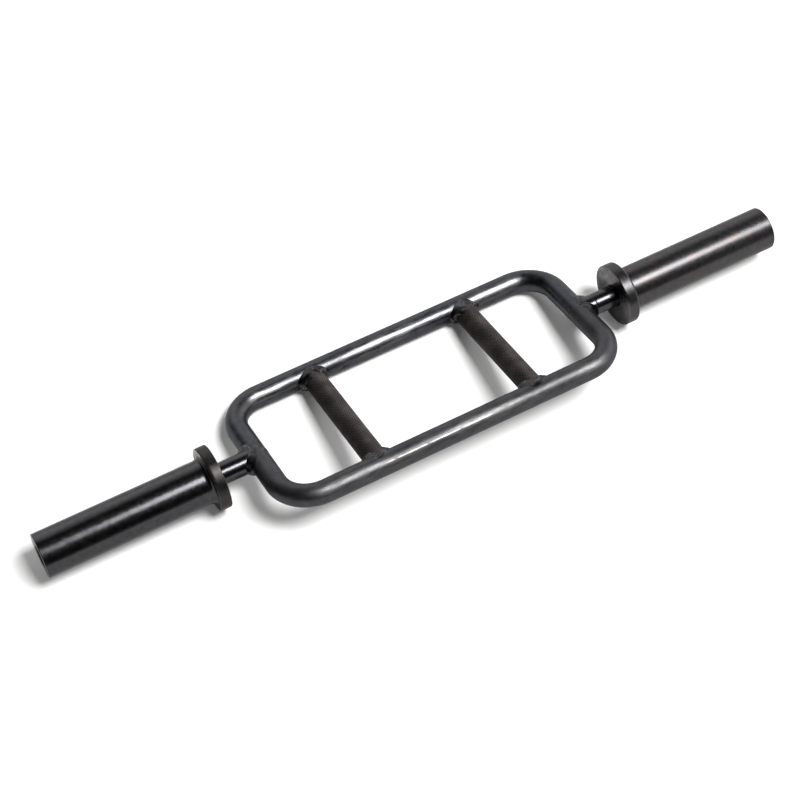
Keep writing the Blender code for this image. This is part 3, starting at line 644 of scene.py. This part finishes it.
# The butt weld of the two frame halves: a low crown that runs round the inner side of an end tube, with its
# two ends drawn down into the bar. Its section is crown * (1 - w^2), in ripples one pitch apart.
def seamBead(name, sideName, sign, size, seed, replaced, rows=120, columns=14):
    angle = np.linspace(-size["halfAngle"], size["halfAngle"], rows)[:, None]
    w = np.linspace(-1, 1, columns)[None, :]
    taper = np.sqrt(np.clip(1 - (angle / size["halfAngle"]) ** 6, 0.0, 1))
    phase = math.pi * barRadius * angle / size["pitch"] + 1.1 * w ** 2
    crown = size["crown"][sideName] * (1 - w ** 2) * taper
    crown = crown + size["ripple"] * (np.abs(np.sin(phase)) - 0.5) * (1 - w ** 4)
    crown += size["lump"] * waves((angle * 4, w * 2), seed, 6) * (1 - w ** 4)
    radius = barRadius - size["sunk"] + crown
    half = size["halfWidth"] * (0.35 + 0.65 * taper) * (1 + 0.12 * waves((angle * 5,), seed + 1, 5))
    top = framePoint(sign * (frameEnd - radius * np.cos(angle)), w * half, radius * np.sin(angle))
    low = (barRadius - size["under"]) * np.ones_like(half)
    under = [framePoint(sign * (frameEnd - low * np.cos(angle)), edge * half, low * np.sin(angle))
             for edge in (1, -1)]
    grid = np.concatenate((top, *under), axis=1)
    makePiece(name, grid, cappedFaces(rows, grid.shape[1], flat=True), "weld", "frame",
              replaced)


for sideName, sign in sides:
    seamBead(f"seamWeld{sideName}", sideName, sign, seamWeld, 90 + sign, f"seam_weld_{sideName}")
print("welds made")


# End shafts
shaft = {"start": 0.2150, "groovePlace": 0.2204, "grooveHalf": 0.0007,
         "grooveDepth": {"left": 0.0, "right": 0.00022}, "grooveRoom": (0.001, 0.002), "journal": 0.010,
         "shoulder": 0.2536, "journalEnd": 0.4295, "hole": 0.0053, "holeBottom": 0.4026,
         "edges": (0, 0.0005, 0.0002, 0.0008, 0.0003, 0, 0)}


# The neck, stepped down to a journal, in rings about the axis. Its inner end is a saddle on the end tube:
# at each ring the distance out is the end tube's reach at the point's height over the frame's plane.
def endShaft(name, sideName, sign, size, replaced):
    around = fullTurn(smallColumns)[None, :]
    place, depth = size["groovePlace"], size["grooveDepth"][sideName]
    before, after = size["grooveRoom"]
    outer = [(neckRadius, size["start"]), (neckRadius, place - before)]
    for k in np.linspace(-1, 1, 7):
        outer.append((neckRadius - depth * math.cos(k * math.pi / 2), place + size["grooveHalf"] * k))
    corners = [(neckRadius, place + after), (neckRadius, size["shoulder"]),
               (size["journal"], size["shoulder"]), (size["journal"], size["journalEnd"]),
               (size["hole"], size["journalEnd"]), (size["hole"], size["holeBottom"]),
               (0.0, size["holeBottom"])]
    outer += [tuple(p) for p in roundedProfile(corners, size["edges"])[:-1]]
    radii = [np.full((1, smallColumns), neckRadius * share) for share in saddleRings]
    places = [frameEnd + saddleReach(radius * np.sin(around), saddleGap) for radius in radii]
    radii += [np.full((1, smallColumns), radius) for radius, _ in outer]
    places += [np.full((1, smallColumns), distance) for _, distance in outer]
    radiusGrid, placeGrid = np.concatenate(radii), np.concatenate(places)
    grid = framePoint(sign * placeGrid, radiusGrid * np.cos(around), radiusGrid * np.sin(around))
    tips = [framePoint(sign * tip, 0, 0) for tip in (frameEnd + barRadius + saddleGap, size["holeBottom"])]
    makePiece(name, np.concatenate((grid.reshape(-1, 3), tips)), cappedFaces(len(grid), smallColumns), "neck",
              "frame", replaced)


# Sleeves and flanges
sleeve = {"radius": 0.025, "shoulder": 0.2592, "inner": 0.2562, "outer": 0.450, "spigot": 0.017,
          "counterbore": 0.013, "relief": 0.011, "innerStep": 0.2815, "outerStep": 0.4039, "edge": 0.0007,
          "columns": 192}
flange = {"radius": 0.036, "inner": 0.247, "outer": 0.2595, "bore": 0.013, "seat": 0.2559, "spigot": 0.0173,
          "weldSeat": 0.2589, "weldRadius": 0.0301, "innerEdge": (0.0012, 0.0010),
          "outerEdge": {"left": (0.0012, 0.0034), "right": (0.0010, 0.0015)},
          # innerRubAndSheen, lowerRubAndSheen and upperFrom shape the lighter faces: rubbing and a painted
          # reflection, strongest on the upper half
          "rubbed": {"left": 0.00012, "right": 0.0006}, "innerRubAndSheen": 0.45, "innerFade": (0.0001, 0.0006),
          "lowerRubAndSheen": 0.4, "upperFrom": (-0.1, 0.6)}
fillet = {"inner": 0.0252, "outer": 0.0300, "foot": 0.2592, "reach": 0.0055, "toe": 0.0002}


# A turned piece from corners of (radius, distance, edge radius).
def turnedCorners(name, corners, sign, columns, finish, body, replaced, rubbed=None):
    profile = roundedProfile([corner[:2] for corner in corners], [corner[2] for corner in corners])
    values = flangeRubAndSheen(profile, columns, rubbed) if rubbed else None
    turnedPiece(name, profile, columns, sign, finish, body, replaced, values)


# How much a flange's faces are lightened at each point: its whole outer face, fading out this far over the
# edge, and part of the inner face. This is partly rubbing by the plates and partly a painted reflection,
# which is made stronger on the upper half of each face.
def flangeRubAndSheen(profile, columns, reach):
    outer, lower = flange["outer"], flange["lowerRubAndSheen"]
    places = [flange["inner"] + fade for fade in flange["innerFade"]] + [outer - reach, outer - reach / 6]
    face = np.interp(profile[:, 1], places, (flange["innerRubAndSheen"], 0.0, 0.0, 1.0))
    upper = lower + (1 - lower) * smoothStep(np.sin(fullTurn(columns)), *flange["upperFrom"])
    return {"face": np.outer(face, upper).ravel()}


# A sleeve, its flange and the fillet between them, which turn together as one body.
def sleevePieces(sideName, sign):
    body = f"{sideName}_sleeve"
    rim, bore, spigot, relief = sleeve["radius"], sleeve["counterbore"], sleeve["spigot"], sleeve["relief"]
    turnedCorners(f"sleeve{sideName}", [
        (rim, sleeve["outer"], sleeve["edge"]), (rim, sleeve["shoulder"], 0.0002),
        (spigot, sleeve["shoulder"], 0.0001), (spigot, sleeve["inner"], 0.0003),
        (bore, sleeve["inner"], 0.0003), (bore, sleeve["innerStep"], 0.0001),
        (relief, sleeve["innerStep"], 0.0002), (relief, sleeve["outerStep"], 0.0002),
        (bore, sleeve["outerStep"], 0.0001), (bore, sleeve["outer"], 0.0009)],
        sign, sleeve["columns"], f"{sideName}Sleeve", body, f"sleeve_{sideName}")
    rim, bore, spigot, seat = flange["radius"], flange["bore"], flange["spigot"], flange["seat"]
    turnedCorners(f"flange{sideName}", [
        (rim, flange["outer"], flange["outerEdge"][sideName]), (rim, flange["inner"], flange["innerEdge"]),
        (bore, flange["inner"], 0.0005), (bore, seat, 0.0001), (spigot, seat, 0.0001),
        (spigot, flange["weldSeat"], 0.0001), (flange["weldRadius"], flange["weldSeat"], 0.0001),
        (flange["weldRadius"], flange["outer"], 0.0001)],
        sign, sleeve["columns"], f"{sideName}Flange", body, f"flange_{sideName}",
        rubbed=flange["rubbed"][sideName])
    # concave fillet between the two: a quarter of an ellipse, long on the sleeve, with short lips at its toes
    inner, outer, foot, toe = fillet["inner"], fillet["outer"], fillet["foot"], fillet["toe"]
    top, rise = foot + fillet["reach"], outer - inner - toe
    curve = np.linspace(math.pi, 1.5 * math.pi, 17)
    profile = [(inner, top), (inner + toe * 0.5, top + 0.0001)]
    profile += [(outer + rise * math.cos(a), top + (fillet["reach"] - toe) * math.sin(a)) for a in curve]
    profile += [(outer, foot), (inner, foot)]
    turnedPiece(f"flangeFillet{sideName}", np.array(profile), sleeve["columns"], sign, f"{sideName}Sleeve",
                body, f"flange_weld_{sideName}")


# Bushings and flat washers: the node that each replaces, then its radius, its bore, its first and last
# distance out, and the rounding of its edges outside and in the bore.
rings = {
    "innerBushing": ("inner_bushing", (0.0127, 0.0101, 0.2562, 0.2812, 0.0004, 0.0003)),
    "outerBushing": ("outer_bushing", (0.0127, 0.0101, 0.4042, 0.4292, 0.0004, 0.0003)),
    "retainingWasher": ("retaining_washer", (0.0125, 0.0053, 0.4298, 0.4328, 0.0004, 0.0003)),
    "thrustWasher": ("thrust_washer", (0.0127, 0.0103, 0.2539, 0.2559, 0.0003, 0.0003)),
}


# A ring turned from four corners.
def plainRing(kind, sideName, sign, finish, body):
    node, (radius, bore, first, last, edge, boreEdge) = rings[kind]
    corners = [(radius, last, edge), (radius, first, edge), (bore, first, boreEdge), (bore, last, boreEdge)]
    turnedCorners(f"{kind}{sideName}", corners, sign, smallColumns, finish, body, f"{node}_{sideName}")


# End fixing: washers and a hexagon bolt, deep in the sleeve's bore
fixing = {"flats": 0.016, "headFrom": 0.4356, "headTo": 0.442, "chamfer": 0.0009, "coneShare": 0.93,
          "coneSlope": 1.75, "coneDepth": 0.0022, "shank": 0.005, "shankEdge": 0.0003, "tip": 0.4056,
          "tipEdge": 0.0008, "lockFrom": 0.4331, "lockTo": 0.4353, "lockOuter": 0.009, "lockInner": 0.0053,
          "lockEdge": 0.0003, "split": 0.24, "lockRows": 97}


# A hexagon bolt in rings: the head's radius is flats/2 divided by the cosine of the angle from the middle
# of a flat, held inside a cone at its outer end, and the shank is round.
def endBolt(name, sign, size, replaced):
    around = fullTurn(smallColumns)
    flat, shank, tip = size["flats"] / 2, size["shank"], size["tip"]
    headFrom, headTo = size["headFrom"], size["headTo"]
    hexagon = flat / np.cos((around + math.pi / 6) % (math.pi / 3) - math.pi / 6)
    rows = [(np.minimum(hexagon, flat * size["coneShare"] + depth * size["coneSlope"]), headTo - depth)
            for depth in np.linspace(0, size["chamfer"], 6)]
    edge, tipEdge = size["shankEdge"], size["tipEdge"]
    rows += [(hexagon, headTo - size["coneDepth"]), (hexagon, headFrom), (shank + edge, headFrom),
             (shank, headFrom - edge), (shank, tip + tipEdge), (shank - tipEdge, tip)]
    grid = np.concatenate([axisPoint(sign * distance, radius, around) for radius, distance in rows])
    points = np.concatenate((grid, [(sign * headTo, 0, axisHeight), (sign * tip, 0, axisHeight)]))
    makePiece(name, points, cappedFaces(len(rows), smallColumns), "fastener", "frame",
              replaced)


# A spring washer: a rounded rectangle carried round the axis, from one side of its split to the other.
def splitWasher(name, sign, size, replaced):
    middle, half = (size["lockFrom"] + size["lockTo"]) / 2, (size["lockTo"] - size["lockFrom"]) / 2
    outer, inner, rows = size["lockOuter"], size["lockInner"], size["lockRows"]
    corners = [(outer, middle + half), (outer, middle - half), (inner, middle - half), (inner, middle + half)]
    section = roundedProfile(corners, [size["lockEdge"]] * 4, 2)
    around = np.linspace(size["split"] / 2, math.tau - size["split"] / 2, rows)[:, None] + math.pi / 2
    grid = axisPoint(sign * section[:, 1][None, :], section[:, 0][None, :], around)
    makePiece(name, grid, cappedFaces(rows, grid.shape[1], flat=True), "fastener", "frame",
              replaced)


for sideName, sign in sides:
    endShaft(f"endShaft{sideName}", sideName, sign, shaft, f"end_shaft_{sideName}")
    sleevePieces(sideName, sign)
    for kind in ("innerBushing", "outerBushing"):
        plainRing(kind, sideName, sign, "bronze", f"{sideName}_sleeve")
    endBolt(f"endBolt{sideName}", sign, fixing, f"end_bolt_{sideName}")
    splitWasher(f"lockWasher{sideName}", sign, fixing, f"lock_washer_{sideName}")
    plainRing("retainingWasher", sideName, sign, "fastener", "frame")
    plainRing("thrustWasher", sideName, sign, "bronze", "frame")
print("shafts, sleeves and end fixings made")


# Floor, light and camera
studio = {"floorColour": "#EEEEED", "floorGlow": 0.05, "floorReach": 30.0, "backdrop": 2.5, "sideWall": 3.6,
          "dim": 0.03, "lampTowards": (0.305, -0.300, 0.897), "lampAway": 14.0, "lampWidth": 4.9,
          "lampLength": 4.8, "lampBrightness": 27.0}
view = {"lens": 84.05, "sensor": 36.0, "place": (-0.5676, -0.9894, 1.7308),
        "target": (-0.0318, -0.0085, 0.036)}


def makeStudio(size):
    reach = size["floorReach"]
    mesh = bpy.data.meshes.new("floor")
    mesh.from_pydata([(-reach, -reach, 0), (reach, -reach, 0), (reach, reach, 0), (-reach, reach, 0)], [],
                     [(0, 1, 2, 3)])
    floor = bpy.data.objects.new("floor", mesh)
    bpy.context.scene.collection.objects.link(floor)
    # matt white paper; a little of its white comes from its own glow, which the camera and reflections see
    material = bpy.data.materials.new("paperFloor")
    material.use_nodes = True
    tree = material.node_tree
    tree.nodes.clear()
    path = add(tree, "ShaderNodeLightPath")
    seen = add(tree, "ShaderNodeMath", {0: path.outputs["Is Camera Ray"], 1: path.outputs["Is Glossy Ray"]},
               operation="ADD")
    seenAll = add(tree, "ShaderNodeMath", {0: seen, 1: path.outputs["Is Transmission Ray"]}, operation="ADD",
                  use_clamp=True)
    glow = add(tree, "ShaderNodeMath", {0: seenAll, 1: size["floorGlow"]}, operation="MULTIPLY")
    matt = add(tree, "ShaderNodeBsdfDiffuse", {"Color": size["floorColour"]})
    light = add(tree, "ShaderNodeEmission", {"Strength": glow})
    both = add(tree, "ShaderNodeAddShader", {0: matt, 1: light})
    add(tree, "ShaderNodeOutputMaterial", {"Surface": both})
    mesh.materials.append(material)

    # one large soft box, high up and towards the camera's right; its watts are 4 * area * the brightness of
    # its face
    towards = Vector(size["lampTowards"]).normalized()
    across = (Vector((1, 0, 0)) - towards * towards.x).normalized()
    lamp = bpy.data.lights.new("softBox", "AREA")
    lamp.shape = "RECTANGLE"
    lamp.size, lamp.size_y = size["lampWidth"], size["lampLength"]
    lamp.energy = 4 * lamp.size * lamp.size_y * size["lampBrightness"]
    holder = bpy.data.objects.new("softBox", lamp)
    turn = Matrix((across, towards.cross(across), towards)).transposed().to_4x4()
    holder.matrix_world = Matrix.Translation(towards * size["lampAway"]) @ turn
    bpy.context.scene.collection.objects.link(holder)

    # the room: a white backdrop beyond the bar that fades out upwards and to the left, a brighter wall on
    # the right, a dim side towards the camera, and a low white band all round where the paper runs out to
    # the horizon
    world = bpy.data.worlds.new("studioRoom")
    bpy.context.scene.world = world
    world.use_nodes = True
    tree = world.node_tree
    tree.nodes.clear()
    outwards = add(tree, "ShaderNodeTexCoord").outputs["Generated"]
    x, y, z = add(tree, "ShaderNodeSeparateXYZ", {0: outwards}).outputs
    beyond, shaded, right, low = (
        add(tree, "ShaderNodeMapRange", {0: axis, 1: start, 2: stop, 3: first, 4: last},
            interpolation_type="SMOOTHSTEP")
        for axis, start, stop, first, last in (
            (y, 0.46, 1.0, 0.0, 1.0), (x, -0.6, 0.0, 0.10 * size["backdrop"], size["backdrop"]),
            (x, 0.42, 1.0, size["dim"], size["sideWall"]), (z, 0.08, 0.02, 0.0, 1.0)))
    backdrop = add(tree, "ShaderNodeMath", {0: beyond, 1: shaded, 2: right}, operation="MULTIPLY_ADD")
    level = add(tree, "ShaderNodeMix", {0: low, 2: backdrop, 3: 1.0})
    light = add(tree, "ShaderNodeBackground", {"Strength": level})
    add(tree, "ShaderNodeOutputWorld", {"Surface": light})


def makeCamera(size):
    camera = bpy.data.cameras.new("camera")
    camera.lens = size["lens"]
    camera.sensor_width = size["sensor"]
    camera.clip_start, camera.clip_end = 0.05, 100.0
    holder = bpy.data.objects.new("camera", camera)
    place = Vector(size["place"])
    holder.location = place
    holder.rotation_euler = (Vector(size["target"]) - place).to_track_quat("-Z", "Y").to_euler()
    bpy.context.scene.collection.objects.link(holder)
    bpy.context.scene.camera = holder


makeStudio(studio)
makeCamera(view)
bpy.context.scene.view_settings.view_transform = "Standard"
print("studio made")
